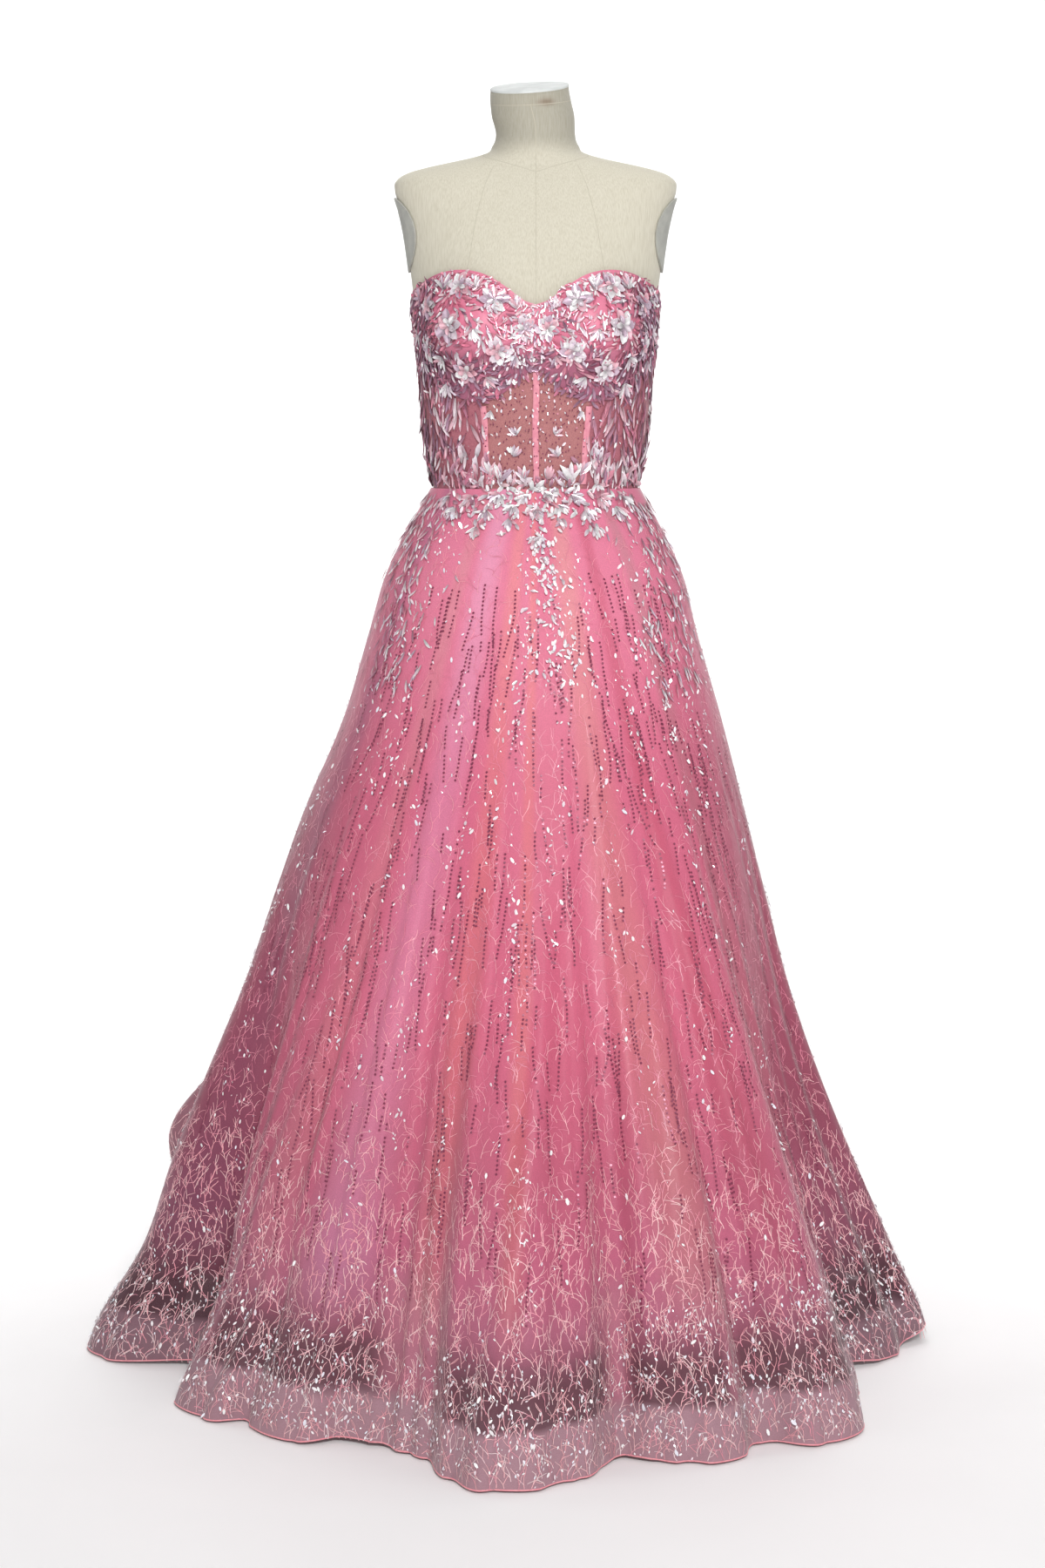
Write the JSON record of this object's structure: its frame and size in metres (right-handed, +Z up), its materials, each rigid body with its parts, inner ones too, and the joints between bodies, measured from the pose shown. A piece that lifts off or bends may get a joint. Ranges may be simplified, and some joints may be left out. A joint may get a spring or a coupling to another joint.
{
  "type": "strapless ball gown on a dress form",
  "caption": "Strapless ball gown with a sheer boned bodice and a full embroidered net skirt over satin, on a limbless dress form with a pole and a round base.",
  "frame": {"origin": "on the floor under the dress form's pole, at the middle of the base's flat underside", "axes": "+Z up, the front of the gown faces -Y, and +X is to the right of someone who looks at the front"},
  "size_m": [1.0784, 1.3149, 1.6148],
  "materials": {
    "petal_cloth": "pink net covered with organza petals and clear sequins",
    "sheer_net": "sheer net",
    "embroidered_net": "net with branching embroidery and sequins",
    "plain_net": "plain net",
    "pink_satin": "satin",
    "horsehair": "woven stiff hem braid",
    "canvas": "cream canvas",
    "cap_board": "smooth",
    "plate_board": "matt",
    "stand_steel": "satin paint",
    "zip_metal": "enamel"
  },
  "bodies": {
    "gown_on_form": {"form_torso": "canvas", "neck_cap": "cap_board", "arm_plate_left": "plate_board", "arm_plate_right": "plate_board", "stand_pole": "stand_steel", "stand_base": "stand_steel", "bodice_cup_left": "petal_cloth", "bodice_cup_right": "petal_cloth", "midriff_front_left": "sheer_net", "midriff_front_right": "sheer_net", "midriff_side_left": "petal_cloth", "midriff_side_right": "petal_cloth", "bodice_back_left": "petal_cloth", "bodice_back_right": "petal_cloth", "boning_strip_left": "pink_satin", "boning_strip_centre": "pink_satin", "boning_strip_right": "pink_satin", "waist_applique": "petal_cloth", "skirt_net_front": "embroidered_net", "skirt_net_back_left": "embroidered_net", "skirt_net_back_right": "embroidered_net", "horsehair_hem_front": "horsehair", "horsehair_hem_back_left": "horsehair", "horsehair_hem_back_right": "horsehair", "undernet_front": "plain_net", "undernet_back": "plain_net", "lining_front": "pink_satin", "lining_back": "pink_satin", "zip_slider": "zip_metal"},
    "pull_tab": {"zip_pull": "zip_metal"}
  },
  "joints": [
    {"name": "pull_tab_hinge", "type": "hinge", "parent": "gown_on_form", "child": "pull_tab", "pos_m": [0, 0.1058, 1.297], "axis": [1, 0, 0], "range_deg": [0, 140]}
  ]
}
